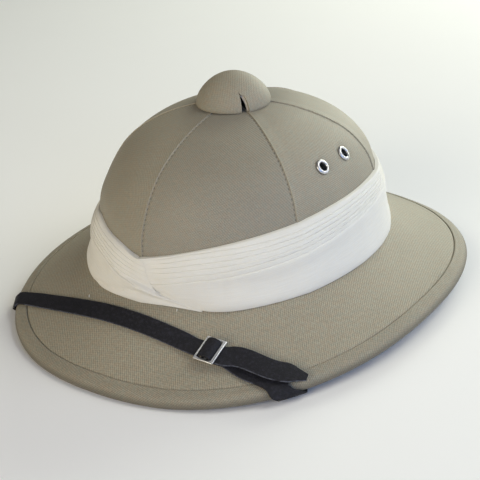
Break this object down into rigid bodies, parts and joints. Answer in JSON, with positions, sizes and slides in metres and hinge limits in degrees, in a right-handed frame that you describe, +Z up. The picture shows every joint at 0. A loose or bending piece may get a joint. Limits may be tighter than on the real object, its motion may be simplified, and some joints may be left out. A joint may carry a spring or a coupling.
{
  "type": "pith helmet",
  "caption": "Cloth-covered pith helmet with a hollow gored crown, bound brim, wound puggaree, notched air cap, side eyelets and a buckled chin strap laid over the brim.",
  "frame": {"origin": "middle of the bounding box, at the level of the surface that the front and back of the brim's edge rest on", "axes": "+Z up through the crown, -Y out of the helmet's front, +X to the wearer's left"},
  "size_m": [0.2928, 0.34, 0.154],
  "materials": {
    "cloth": "fine khaki twill, matt",
    "binding_cloth": "khaki twill turned over the edge, matt",
    "white_cotton": "off-white muslin in narrow pleats",
    "black_leather": "satin black leather",
    "nickel": "nickel plate"
  },
  "bodies": {
    "root": {"vent_cap": "cloth", "crown": "cloth", "eyelet_left_front": "nickel", "eyelet_left_back": "nickel", "eyelet_right_front": "nickel", "eyelet_right_back": "nickel", "puggaree_right_wrap": "white_cotton", "puggaree_left_wrap": "white_cotton", "brim": "cloth", "edge_binding": "binding_cloth", "chin_strap_long": "black_leather", "chin_strap_short": "black_leather", "strap_buckle": "nickel", "strap_rivet_left": "nickel", "strap_rivet_right": "nickel"}
  },
  "joints": []
}
